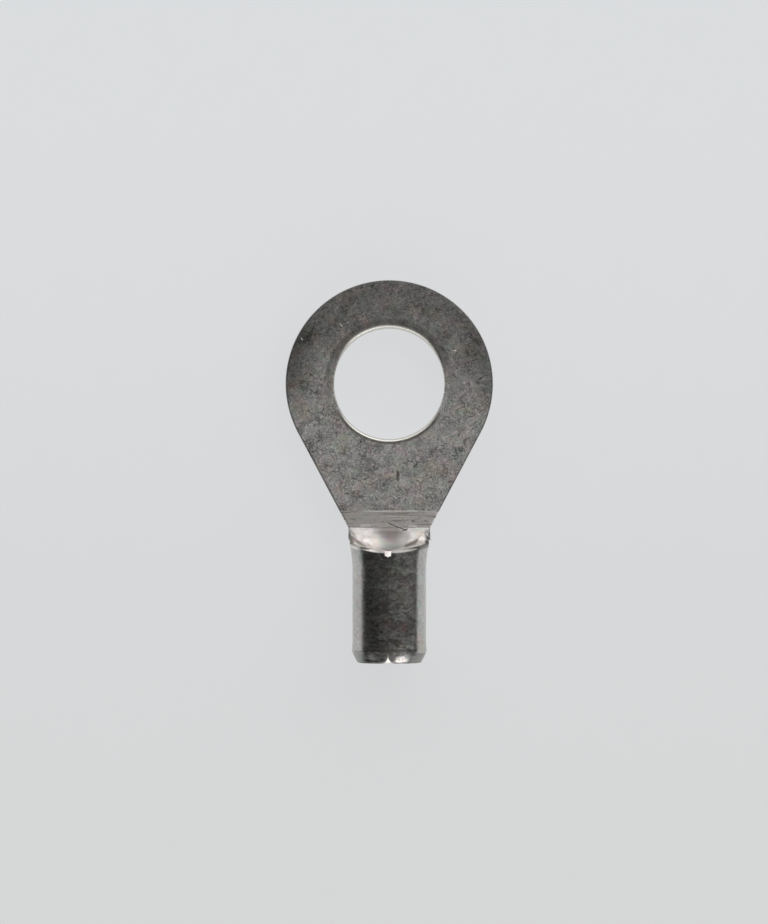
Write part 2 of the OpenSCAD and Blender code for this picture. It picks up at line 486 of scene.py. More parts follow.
@dataclass
class Forming:
    """The press that rounds the plate's edges and rolls it up. Lengths in millimetres."""

    blank: Blank
    curl_l: float = 0.62
    curl_power: float = 2.3
    crease: float = 0.12
    crease_l: float = 0.12
    oval: float = 0.1
    drop: float = 0.4
    drop_l: float = 1.3
    hump: float = 0.18
    hump_l: float = 1.25
    late_l: float = 2.4
    floor_side: Span = (1.2, 2.5)
    bevel_l: float = 0.64
    bevel_d: float = 0.28
    entry_chamfer: float = 0.2
    swell: float = 0.04
    swell_l: float = 0.6
    grooves: int = 3
    groove_pitch: float = 1.1
    groove_w: float = 0.4
    groove_d: float = 0.1
    rolls: dict[Rim, Roll] = field(default_factory=lambda: {
        Rim.HOLE: Roll(0.1, 0.04),
        Rim.OUTLINE: Roll(0.09, 0.05),
        Rim.MOUTH: Roll(0.03, 0.02),
        Rim.SEAM: Roll(0.01, 0.0),
        Rim.WIRE_END: Roll(0.05, 0.05),
    })
    hole_crescent: float = 0.22
    crescent_top: Span = (0.25, 0.8)
    crescent_foot: Span = (0.3, 0.85)
    crescent_foot_share: float = 0.45
    past_waist: Span = (0.45, 0.85)
    seam_edge_w: float = 0.25
    seam_edge_v: Span = (0.1, 0.4)
    wire_end_rest: float = 0.1
    mouth_slant_w: float = 0.18
    mouth_slant: float = 0.62
    slant_start: Span = (0.5, 0.85)
    slant_stop: Span = (0.06, 0.2)
    slant_side_w: float = 0.2
    lean: float = 0.065
    ding_d: float = 0.06
    ding_off: float = 0.62
    ding_w: float = 0.26
    ding_l: float = 0.36

    def curl(self, v: np.ndarray) -> np.ndarray:
        """Share of the barrel's curvature that the sheet has reached.

        Args:
            v: distances from the bend line.

        Returns:
            The share at each, from 0 to 1.
        """
        def reached(x: np.ndarray) -> np.ndarray:
            """The same without its last small step."""
            return self.crease * (1 - np.exp(-x / self.crease_l)) + (1 - self.crease) * (
                1 - np.exp(-((x / self.curl_l) ** self.curl_power))
            )
        whole = reached(np.array(self.blank.throat_l))
        return np.minimum(reached(np.maximum(v, 0.0)) / whole, 1.0)

    def floor_z(self, u: np.ndarray, v: np.ndarray) -> np.ndarray:
        """Height of the throat's floor, whose sides come down before its middle does.

        Args:
            u: distances across the plate.
            v: distances from the bend line.

        Returns:
            The height at each point.
        """
        side = smooth(np.abs(u), *self.floor_side)
        early = self.drop * smooth(v, 0.0, self.drop_l)
        late = (self.drop + self.hump) * smooth(v, self.hump_l, self.late_l)
        late = late - self.hump * smooth(v, 0.0, self.hump_l)
        return self.blank.stock_t - early * side - late * (1 - side)

    def roll_up(self, u: np.ndarray, v: np.ndarray, depth: np.ndarray) -> np.ndarray:
        """Where points of the plate lie once it is rolled.

        Args:
            u: distances across the plate from its centre line.
            v: distances from the bend line towards the wire end.
            depth: depths below the plate's upper face.

        Returns:
            One row of x, y and z each, in metres, in the CAD frame.
        """
        b = self.blank
        u = u + self.lean * (u / b.half_girth) ** 2 * smooth(v, 0.0, b.mouth_seam)
        share = np.maximum(self.curl(v), 1e-6)
        radius = b.mid_r / share - b.stock_t / 2 + depth
        angle = u * share / b.mid_r
        widening = 1 + self.oval * share * np.maximum(1 - v / b.throat_l, 0.0)
        widening = np.where(v > 0, widening, 1.0)
        x = radius * np.sin(angle) * widening
        z = self.floor_z(u, v) - depth + 2 * radius * np.sin(angle / 2) ** 2
        return np.column_stack([x, -b.neck_l - v, z]) * MM

    def mouth_band(self, rim: np.ndarray, near_u: np.ndarray, near_v: np.ndarray) -> np.ndarray:
        """How far the outer face falls away in the slanted band along the barrel's mouth.

        Args:
            rim: distances from the cut edge.
            near_u: distances across the plate of the nearest points of the cut edge.
            near_v: the same points' distances from the bend line.

        Returns:
            The fall at each point.
        """
        b = self.blank
        stop, stopped = (b.mouth_seam + past for past in self.slant_stop)
        share = smooth(near_v, *self.slant_start) * (1 - smooth(near_v, stop, stopped))
        share = share * smooth(np.abs(near_u), b.neck_w / 2 - self.slant_side_w, b.neck_w / 2)
        return share * self.mouth_slant * np.clip(self.mouth_slant_w - rim, 0.0, None)

    def rim_roll(self, u: np.ndarray, v: np.ndarray) -> tuple[np.ndarray, np.ndarray]:
        """How far the edge is rounded over at points of the cut edge.

        Args:
            u: the points' distances across the plate.
            v: the points' distances from the bend line.

        Returns:
            The rounding on the upper and on the lower face.
        """
        b = self.blank
        r = self.rolls
        y = -b.neck_l - v
        at_hole = np.hypot(u, y) < (b.hole_r + b.ring_r) / 2
        up = np.sin(np.arctan2(y, u))
        crescent = smooth(up, *self.crescent_top)
        crescent = crescent + self.crescent_foot_share * smooth(-up, *self.crescent_foot)
        hole = r[Rim.HOLE].upper + self.hole_crescent * crescent
        past = smooth(v, *self.past_waist)
        side = smooth(np.abs(u), b.half_girth - self.seam_edge_w, b.half_girth)
        side = side * smooth(v, *(b.mouth_seam + past_mouth for past_mouth in self.seam_edge_v))
        end = smooth(v, b.end_v - b.corner_r, b.end_v - self.wire_end_rest)
        found = []
        for face in ("upper", "lower"):
            outline, mouth, seam, wire = (
                getattr(r[kind], face) for kind in (Rim.OUTLINE, Rim.MOUTH, Rim.SEAM, Rim.WIRE_END)
            )
            amount = outline + (mouth - outline) * past
            amount = amount + (seam - amount) * side
            amount = amount + (wire - amount) * end
            found.append(np.where(at_hole, hole if face == "upper" else r[Rim.HOLE].lower, amount))
        return found[0], found[1]

    def edge_distance(self, plate: bpy.types.Object) -> tuple[np.ndarray, np.ndarray]:
        """How far each vertex of the flat plate is from its cut edge.

        Args:
            plate: the flat sheet, still open along its cut edge.

        Returns:
            The distances, and the nearest points of the cut edge as rows of u and v.
        """
        mesh = bmesh.new()
        mesh.from_mesh(plate.data)
        ends = np.array([[[vert.co.x, -vert.co.y] for vert in edge.verts]
                         for edge in mesh.edges if edge.is_boundary])
        mesh.free()
        spots = Bench.points(plate)
        flat = np.column_stack([spots[:, 0], -spots[:, 1]])
        start, run = ends[:, 0], ends[:, 1] - ends[:, 0]
        size = np.maximum((run**2).sum(1), 1e-12)
        best = np.zeros(len(flat))
        near = np.zeros_like(flat)
        batch = 2000
        for first in range(0, len(flat), batch):
            part = flat[first:first + batch]
            gap = part[:, None, :] - start[None]
            t = np.clip((gap * run[None]).sum(2) / size, 0.0, 1.0)
            foot = start[None] + run[None] * t[..., None]
            away = ((part[:, None, :] - foot) ** 2).sum(2)
            pick = away.argmin(1)
            spot = np.arange(len(part))
            best[first:first + batch] = np.sqrt(away[spot, pick])
            near[first:first + batch] = foot[spot, pick]
        return best, near

    @staticmethod
    def rounded(distance: np.ndarray, radius: np.ndarray) -> np.ndarray:
        """How far a rounded edge falls away at a distance from the cut."""
        rest = np.clip(1 - distance / np.maximum(radius, 1e-6), 0.0, 1.0)
        return radius * (1 - np.sqrt(1 - rest**2))

    def wall_change(self, v: np.ndarray) -> tuple[np.ndarray, np.ndarray]:
        """What the dies take off or add to the barrel's wall along its length.

        Args:
            v: distances from the bend line.

        Returns:
            How far the bore's wall moves out, and how far the outer face moves out.
        """
        b = self.blank
        bevel_v = b.end_v - self.bevel_l
        past = np.clip((v - bevel_v) / self.bevel_l, 0.0, 1.0)
        outer = self.swell * smooth(v, bevel_v - self.swell_l, bevel_v)
        outer = outer - (self.swell + self.bevel_d) * past
        inner = np.clip(v - (b.end_v - self.entry_chamfer), 0.0, None)
        for k in range(self.grooves):
            middle = b.throat_l + b.barrel_l / 2 + (k - (self.grooves - 1) / 2) * self.groove_pitch
            groove = np.clip(2 - np.abs(v - middle) / (self.groove_w / 4), 0.0, 1.0)
            inner = np.maximum(inner, self.groove_d * groove)
        return inner, outer

    def ding(self, u: np.ndarray, v: np.ndarray) -> np.ndarray:
        """Depth of the small knock on the bevel, just right of the seam."""
        b = self.blank
        across = np.exp(-(((u - (b.half_girth - self.ding_off)) / self.ding_w) ** 2))
        return self.ding_d * across * smooth(v, b.end_v - self.ding_l, b.end_v)

    def form(self, plate: bpy.types.Object) -> None:
        """Thickens the plate, rounds its edges, rolls it up and records where each point came from.

        Args:
            plate: the flat sheet from Blank.stamp, changed in place.
        """
        b = self.blank
        distance, near = self.edge_distance(plate)
        for name, values in (("rim", distance), ("near_u", near[:, 0]), ("near_v", near[:, 1])):
            plate.data.attributes.new(name, "FLOAT", "POINT").data.foreach_set("value", values)
        Bench.edit(plate, everything=True)
        bpy.ops.mesh.extrude_region_move(TRANSFORM_OT_translate={"value": (0.0, 0.0, -b.stock_t)})
        Bench.close()
        spots = Bench.points(plate)
        read = {}
        for name in ("rim", "near_u", "near_v"):
            read[name] = np.empty(len(spots))
            plate.data.attributes[name].data.foreach_get("value", read[name])
        u, v = spots[:, 0], -spots[:, 1]
        lower = spots[:, 2] < -b.stock_t / 2
        roll_upper, roll_lower = self.rim_roll(read["near_u"], read["near_v"])
        fall = np.maximum(self.rounded(read["rim"], roll_lower),
                          self.mouth_band(read["rim"], read["near_u"], read["near_v"]))
        depth = np.where(lower, b.stock_t - fall, self.rounded(read["rim"], roll_upper))
        inner, outer = self.wall_change(v)
        outer = outer - self.ding(u, v)
        share = depth / b.stock_t
        depth = depth + inner * (1 - share) + outer * share
        Bench.place(plate, self.roll_up(u, v, depth))
        self.record(plate, u, v, read["rim"], share)
        for name in ("near_u", "near_v"):
            plate.data.attributes.remove(plate.data.attributes[name])

    @staticmethod
    def record(plate: bpy.types.Object, u: np.ndarray, v: np.ndarray, rim: np.ndarray,
               share: np.ndarray) -> None:
        """Keeps the blank's own coordinates on the mesh, for the finish to follow.

        Args:
            plate: the mesh object.
            u: distances across the blank, in millimetres.
            v: distances from the bend line, in millimetres.
            rim: distances from the cut edge, in millimetres.
            share: depth in the sheet, 0 on its upper face and 1 on its lower.
        """
        mesh = plate.data
        mesh.attributes["rim"].data.foreach_set("value", rim)
        mesh.attributes.new("face", "FLOAT", "POINT").data.foreach_set("value", share)
        layer = mesh.uv_layers.new(name=UV_NAME)
        corner = np.empty(len(mesh.loops), int)
        mesh.loops.foreach_get("vertex_index", corner)
        layer.data.foreach_set("uv", np.column_stack([u[corner], v[corner]]).ravel())


@dataclass
class SeamBraze:
    """The thin run of braze that closes the seam. Lengths in millimetres."""

    forming: Forming
    half_w: float = 0.13
    sunk: float = 0.02
    height: float = 0.5
    pad_half_w: float = 0.2
    pad_l: float = 0.37
    pad_fall: float = 0.24
    tail_l: float = 0.36
    tail_fall: float = 0.15
    tail_half_w: float = 0.34
    from_mouth: float = 0.07
    from_end: float = 0.05
    pad_blend: float = 0.1
    ripples: Sequence[tuple[float, float, float]] = ((0.006, 9.1, 0.0), (0.004, 21.3, 1.0))
    cells_long: int = 96
    cells_wide: int = 6

    def build(self) -> bpy.types.Object:
        """Lays the braze along the seam, with a sloping pad in the mouth's notch and a tail.

        Returns:
            The braze as one closed mesh.
        """
        b = self.forming.blank
        start, stop = b.mouth_seam + self.from_mouth, b.end_v - self.from_end
        Bench.clear()
        bpy.ops.mesh.primitive_grid_add(x_subdivisions=self.cells_wide,
                                        y_subdivisions=self.cells_long, size=2.0)
        braze = bpy.context.active_object
        Bench.edit(braze, everything=True)
        bpy.ops.mesh.extrude_region_move(TRANSFORM_OT_translate={"value": (0.0, 0.0, -1.0)})
        Bench.close()
        spots = Bench.points(braze)
        across, along, low = spots[:, 0], (1 - spots[:, 1]) / 2, spots[:, 2] < -0.5
        v = start + (stop - start) * along
        pad_end = start + self.pad_l
        front = 1 - smooth(v, pad_end - self.pad_blend, pad_end)
        rear = np.clip((v - (stop - self.tail_l)) / self.tail_l, 0.0, 1.0)
        half = self.half_w + (self.pad_half_w - self.half_w) * front
        half = half + (self.tail_half_w - self.half_w) * rear
        fall = self.pad_fall * np.clip((pad_end - v) / self.pad_l, 0.0, 1.0)
        fall = fall + self.tail_fall * rear - self.forming.wall_change(v)[1]
        ripple = sum(high * np.sin(v * pace + phase) for high, pace, phase in self.ripples)
        seam_x = -b.barrel_od / 2 * math.sin(self.forming.lean / b.mid_r)
        x = seam_x + across * half
        level = b.barrel_od / 2 - self.sunk - fall + ripple * (1 - across**2)
        level = np.sqrt(np.maximum(level**2 - x**2, 0.0))
        height = np.where(low, level - self.height, level)
        axis_z = b.barrel_od / 2 - self.forming.drop
        Bench.place(braze, np.column_stack([x, -b.neck_l - v, axis_z + height]) * MM)
        Bench.outward(braze)
        braze.name = braze.data.name = "seam_braze"
        return braze


@dataclass
class EdgeBurr:
    """The small torn sliver at the right end of the bend. Lengths in millimetres."""

    blank: Blank
    thickness: float = 0.075
    taper: float = 0.82
    steps: int = 7
    sides: int = 10
    tilt: float = 70.0
    swing: float = 20.0
    # from the bend line's right end, at the height of the tongue's underside
    path: Sequence[tuple[float, float, float]] = (
        (-0.24, -0.3, 0.86), (-0.2, -0.48, 0.98), (-0.06, -0.6, 1.02), (0.12, -0.78, 0.9),
    )

    def build(self) -> bpy.types.Object:
        """Draws the sliver out along a hooked path, thinner at each step.

        Returns:
            The burr as one closed mesh.
        """
        corner = Vector((self.blank.neck_w / 2, -self.blank.neck_l, 0.0))
        path = [corner + Vector(point) for point in self.path]
        Bench.clear()
        bpy.ops.mesh.primitive_circle_add(
            vertices=self.sides, radius=self.thickness * MM, fill_type="NGON",
            location=path[0] * MM,
            rotation=(math.radians(self.tilt), 0.0, math.radians(self.swing)),
        )
        burr = bpy.context.active_object
        Bench.edit(burr, everything=True)
        here = path[0]
        for step in range(1, self.steps + 1):
            t = step / self.steps * (len(path) - 1)
            k = min(int(t), len(path) - 2)
            spot = path[k].lerp(path[k + 1], t - k)
            bpy.ops.mesh.extrude_region_move(TRANSFORM_OT_translate={"value": (spot - here) * MM})
            bpy.ops.transform.resize(value=(self.taper,) * 3, center_override=spot * MM)
            here = spot
        Bench.close()
        bpy.ops.object.transform_apply(location=True, rotation=True, scale=True)
        Bench.outward(burr)
        burr.name = burr.data.name = "edge_burr"
        return burr


# ---------------------------------------------------------------- finishes

Colour = tuple[float, float, float]


def joined(operation: str, swap: bool = False) -> Callable[..., "Value"]:
    """Makes an operator that adds a math node.

    Args:
        operation: what the node works out.
        swap: whether the other value comes first.

    Returns:
        The operator, for Value.
    """
    def operator(self: "Value", other: "Number | None" = None) -> "Value":
        """Adds the node."""
        return self.wires.math(operation, *((other, self) if swap else (self, other)))
    return operator


class Value:
    """What a node gives out. Of two masks, * is where both hold and | where either does."""

    def __init__(self, wires: "Wiring", socket: bpy.types.NodeSocket) -> None:
        """Takes an output and the node sheet that it is on."""
        self.wires, self.socket = wires, socket

    __add__ = __radd__ = joined("ADD")
    __mul__ = __rmul__ = joined("MULTIPLY")
    __sub__, __rsub__ = joined("SUBTRACT"), joined("SUBTRACT", swap=True)
    __or__, __abs__ = joined("MAXIMUM"), joined("ABSOLUTE")


Number = Value | float
Input = Value | float | Colour
Fields = dict | None


class Wiring:
    """Adds and joins shader nodes on one node sheet."""

    def __init__(self, tree: bpy.types.NodeTree) -> None:
        """Takes a node sheet and clears it."""
        self.tree = tree
        tree.nodes.clear()

    @classmethod
    def material(cls, name: str) -> tuple[bpy.types.Material, "Wiring"]:
        """Opens a new material, with an empty node sheet."""
        material = bpy.data.materials.new(name)
        material.use_nodes = True
        return material, cls(material.node_tree)

    def add(self, kind: str, settings: Fields = None, inputs: Fields = None) -> bpy.types.Node:
        """Adds a node.

        Args:
            kind: the node's type, without ShaderNode in front.
            settings: properties to set on it.
            inputs: what each input takes, by name or number: a constant, or a value to join.

        Returns:
            The node.
        """
        node = self.tree.nodes.new("ShaderNode" + kind)
        for name, value in (settings or {}).items():
            setattr(node, name, value)
        for name, value in (inputs or {}).items():
            slot = node.inputs[name]
            if isinstance(value, Value):
                self.tree.links.new(value.socket, slot)
            elif value is not None:
                slot.default_value = (*value, 1.0) if slot.type == "RGBA" else value
        return node

    def read(self, kind: str, settings: Fields = None, inputs: Fields = None,
             out: int | str = 0) -> Value:
        """Adds a node, as add does, and takes one output."""
        return Value(self, self.add(kind, settings, inputs).outputs[out])

    def read_all(self, kind: str, settings: Fields = None,
                 inputs: Fields = None) -> dict[str, Value]:
        """Adds a node, as add does, and takes all its outputs by name."""
        return {out.name: Value(self, out) for out in self.add(kind, settings, inputs).outputs}

    def group(self, tree: bpy.types.NodeTree, inputs: dict, out: int | str = 0) -> Value:
        """A node group's result."""
        return self.read("Group", {"node_tree": tree}, inputs, out)

    def parts(self, vector: Value) -> tuple[Value, ...]:
        """A vector's x, y and z."""
        return tuple(self.read_all("SeparateXYZ", inputs={0: vector}).values())

    def millimetres(self) -> Value:
        """The object's own coordinates, in millimetres."""
        return self.read("Mapping", inputs={"Vector": self.read("TexCoord", out="Object"),
                                            "Scale": (1 / MM,) * 3})

    def math(self, operation: str, a: Number, b: Number | None = None,
             clamp: bool = False) -> Value:
        """A math node's result."""
        return self.read("Math", {"operation": operation, "use_clamp": clamp}, {0: a, 1: b})

    def vector(self, operation: str, a: Input, b: Input | None = None, out: int = 0) -> Value:
        """A vector math node's result."""
        return self.read("VectorMath", {"operation": operation}, {0: a, 1: b}, out)

    def scaled(self, vector: Value, factor: Number) -> Value:
        """A vector or colour times a factor."""
        return self.read("VectorMath", {"operation": "SCALE"}, {0: vector, "Scale": factor})

    def ease(self, value: Number, low: Number, high: Number,
             to: tuple[Number, Number] = (0.0, 1.0)) -> Value:
        """Eases from to[0] at low to to[1] at high."""
        return self.read("MapRange", {"interpolation_type": "SMOOTHSTEP"}, {
            "Value": value, "From Min": low, "From Max": high, "To Min": to[0], "To Max": to[1],
        })

    def window(self, value: Value, low: float, high: float, soft: float) -> Value:
        """1 between low and high, falling to 0 over soft on each side."""
        return self.ease(value, low - soft, low) * self.ease(value, high + soft, high)

    def blend(self, factor: Number, a: Input, b: Input, how: str = "MIX") -> Value:
        """Two colours blended by a factor."""
        return self.read("Mix", {"data_type": "RGBA", "blend_type": how},
                         {0: factor, 6: a, 7: b}, out=2)

    def coats(self, colour: Input, *coats: tuple[Number, Input]) -> Value:
        """Paints coats over a colour in turn, each by its own factor."""
        for factor, coat in coats:
            colour = self.blend(factor, colour, coat)
        return colour

    def noise(self, at: Value, scale: Number, detail: float = 2.0, rough: float = 0.5,
              twist: float = 0.0) -> Value:
        """A noise texture's value."""
        return self.read("TexNoise", inputs={"Vector": at, "Scale": scale, "Detail": detail,
                                             "Roughness": rough, "Distortion": twist})

    def metal(self, colour: Value, rough: Value, lift: Value, depth: float) -> None:
        """Ends a material as bare metal.

        Args:
            colour: what it reflects.
            rough: its roughness.
            lift: how high its surface stands, in bump depths.
            depth: the bump's depth, in metres.
        """
        bump = self.read("Bump", inputs={"Strength": 1.0, "Distance": depth, "Height": lift})
        self.add("OutputMaterial", inputs={"Surface": self.read("BsdfPrincipled", inputs={
            "Base Color": colour, "Metallic": 1.0, "Roughness": rough, "Normal": bump,
        })})


def tone(colour: Colour, times: float) -> Colour:
    """A colour made lighter or darker."""
    return tuple(channel * times for channel in colour)


class Effect:
    """A shader node group with named inputs and outputs, built once."""

    def __init__(self, name: str, inputs: dict[str, str], outputs: dict[str, str]) -> None:
        """Opens an empty group.

        Args:
            name: the group's name.
            inputs: the kind of each input, Vector, Color or Float, by name.
            outputs: the kind of each output, by name.
        """
        self.tree = bpy.data.node_groups.new(name, "ShaderNodeTree")
        for way, sockets in (("INPUT", inputs), ("OUTPUT", outputs)):
            for label, kind in sockets.items():
                self.tree.interface.new_socket(name=label, in_out=way,
                                               socket_type="NodeSocket" + kind)
        self.wires = Wiring(self.tree)
        source = self.tree.nodes.new("NodeGroupInput").outputs
        self.take = {label: Value(self.wires, source[label]) for label in inputs}
        self.sink = self.tree.nodes.new("NodeGroupOutput").inputs

    def give(self, name: str, value: Value) -> None:
        """Joins a value to one of the group's outputs."""
        self.tree.links.new(value.socket, self.sink[name])


@dataclass(frozen=True)
class Effects:
    """The node groups that the finishes share."""

    mark: bpy.types.NodeTree
    skin: bpy.types.NodeTree
    mottle: bpy.types.NodeTree
    tarnish: bpy.types.NodeTree

    @classmethod
    def build(cls) -> "Effects":
        """Builds every group once."""
        return cls(cls.build_mark(), cls.build_skin(), cls.build_mottle(), cls.build_tarnish())

    @staticmethod
    def build_mark() -> bpy.types.NodeTree:
        """A short line or spot: 1 on the line from Start to End, 0 past Width."""
        effect = Effect("short_mark", {"Vector": "Vector", "Start": "Vector", "End": "Vector",
                                       "Width": "Float"}, {"Mask": "Float"})
        w, take = effect.wires, effect.take
        run = w.vector("SUBTRACT", take["End"], take["Start"])
        gap = w.vector("SUBTRACT", take["Vector"], take["Start"])
        size = w.vector("DOT_PRODUCT", run, run, 1) + 1e-6
        share = w.math("DIVIDE", w.vector("DOT_PRODUCT", gap, run, 1), size, clamp=True)
        away = w.vector("LENGTH", w.vector("SUBTRACT", gap, w.scaled(run, share)), None, 1)
        effect.give("Mask", w.ease(away, take["Width"], 0.0))
        return effect.tree

    @staticmethod
    def build_skin() -> bpy.types.NodeTree:
        """The lumpy skin of the plating: fine worm-like ridges over soft lumps, from 0 to 1."""
        effect = Effect("plated_skin", {"Vector": "Vector", "Size": "Float", "Worms": "Float"},
                        {"Height": "Float", "Pits": "Float"})
        w, at, worms = effect.wires, effect.take["Vector"], effect.take["Worms"]
        scale = w.math("DIVIDE", 1.0, effect.take["Size"])
        lumps = w.noise(at, scale, 3.0, 0.6, twist=0.6)
        worm = abs((w.noise(at, scale * 2.3, twist=1.4) - 0.5) * 2.0)
        effect.give("Height", lumps * (1.0 - worms) + w.ease(worm, 0.0, 0.22) * worms)
        effect.give("Pits", w.ease(worm, 0.1, 0.0) * w.ease(w.noise(at, scale * 0.9), 0.5, 0.62))
        return effect.tree

    @staticmethod
    def build_mottle() -> bpy.types.NodeTree:
        """Blotches of three faint tints over a base colour, with light and dark mottling."""
        effect = Effect("tint_mottle", {"Vector": "Vector", "Base": "Color", "Tint": "Float",
                                        "Contrast": "Float", "Size": "Float"}, {"Color": "Color"})
        w, take = effect.wires, effect.take
        at, colour = take["Vector"], take["Base"]
        scale = w.math("DIVIDE", 1.0, take["Size"])
        for shift, tint in (((0.0, 0.0, 0.0), (0.8, 1.06, 0.93)),
                            ((7.0, 3.0, 1.0), (1.18, 0.9, 1.0)),
                            ((2.0, 9.0, 4.0), (1.12, 0.98, 0.78))):
            spot = w.ease(w.noise(w.vector("ADD", at, shift), scale, 3.0, 0.55), 0.5, 0.68)
            colour = w.blend(spot * take["Tint"], colour, w.blend(1.0, colour, tint, "MULTIPLY"))
        grain = w.noise(at, scale * 5.0, 4.0, 0.65, twist=0.8) - 0.5
        effect.give("Color", w.scaled(colour, grain * take["Contrast"] + 1.0))
        return effect.tree

    @staticmethod
    def build_tarnish() -> bpy.types.NodeTree:
        """Thin dark squiggles of two sizes over soft clouds, as a factor about 1."""
        effect = Effect("tarnish", {"Vector": "Vector", "Size": "Float", "Depth": "Float"},
                        {"Grey": "Float"})
        w, at = effect.wires, effect.take["Vector"]
        scale = w.math("DIVIDE", 1.0, effect.take["Size"])
        light = (w.noise(at, scale * 0.5, 3.0, 0.65) - 0.5) * 0.8
        patches = w.noise(w.vector("ADD", at, (3.0, 8.0, 2.0)), scale * 0.8)
        patches = w.ease(patches, 0.33, 0.67, (0.25, 1.0))

        def squiggles(size: float, width: float) -> Value:
            """Lines along the middle level of a noise field."""
            shifted = w.vector("ADD", at, (size, 4.0, 1.0))
            level = w.noise(shifted, scale * size, 2.0, 0.55, twist=1.6)
            return w.ease(abs((level - 0.5) * 2.0), width, 0.0)

        dark = squiggles(1.0, 0.16) * patches * 0.42 + squiggles(1.7, 0.24) * 0.27
        effect.give("Grey", (light + 0.12 - dark) * effect.take["Depth"] + 1.0)
        return effect.tree


@dataclass(frozen=True)
class Mark:
    """A scratch, pit, stain, speck, dark line or patch of painted shadow seen from above, in
    millimetres about the stud hole.
    """

    start: Span
    end: Span
    width: float
    colour: Colour
    strength: float = 1.0
    dent: float = 0.0


class Sheet:
    """Where a point of the sheet is: lengths in millimetres, and masks for its stretches."""

    outside_face = (0.5, 0.7)
    barrel_v = (0.7, 1.3)
    throat_v = (-0.02, 0.03)
    neck_y = (-8.26, -7.4)
    crown_x = (1.6, 1.3)
    neck_fade_y = (4.6, -3.2)
    lit_y = ((0.6, 2.2), (-1.2, -2.6))
    hole_edge_r = (3.56, 3.42)
    line_scale = (0.35, 9.0, 1.0)

    def __init__(self, w: Wiring) -> None:
        """Adds the nodes that read the place from the mesh.

        Args:
            w: the wiring of the material's node sheet.
        """
        self.wires = w
        self.at = w.millimetres()
        self.x, self.y, _ = w.parts(self.at)
        self.v = w.parts(w.read("UVMap", {"uv_map": UV_NAME}))[1]
        face, self.rim = (w.read("Attribute", {"attribute_name": name}, out="Fac")
                          for name in ("face", "rim"))
        self.plan = w.vector("MULTIPLY", self.at, (1.0, 1.0, 0.0))
        self.radius = w.vector("LENGTH", self.plan, None, 1)
        self.upward = w.ease(w.parts(w.read("NewGeometry", out="True Normal"))[2], 0.0, 0.2)
        self.outside = w.ease(face, *self.outside_face)
        self.barrel = self.outside * w.ease(self.v, *self.barrel_v)
        self.throat = (1.0 - self.outside) * w.ease(self.v, *self.throat_v)
        self.flat = 1.0 - (self.barrel | self.throat)
        self.neck = self.flat * self.upward * w.window(self.y, *self.neck_y, 0.08)
        self.crown = w.ease(abs(self.x), *self.crown_x)
        self.near_neck = w.ease(self.y, *self.neck_fade_y)
        beyond, before = (w.ease(self.y, *span) for span in self.lit_y)
        # The hole's edge above and below the hole, which takes a painted highlight and a smoother
        # finish.
        self.lit_hole_edge = self.flat * w.ease(self.radius, *self.hole_edge_r) * (beyond | before)
        self.lines = w.noise(w.vector("MULTIPLY", self.at, self.line_scale), 1.0, 3.0, 0.6)


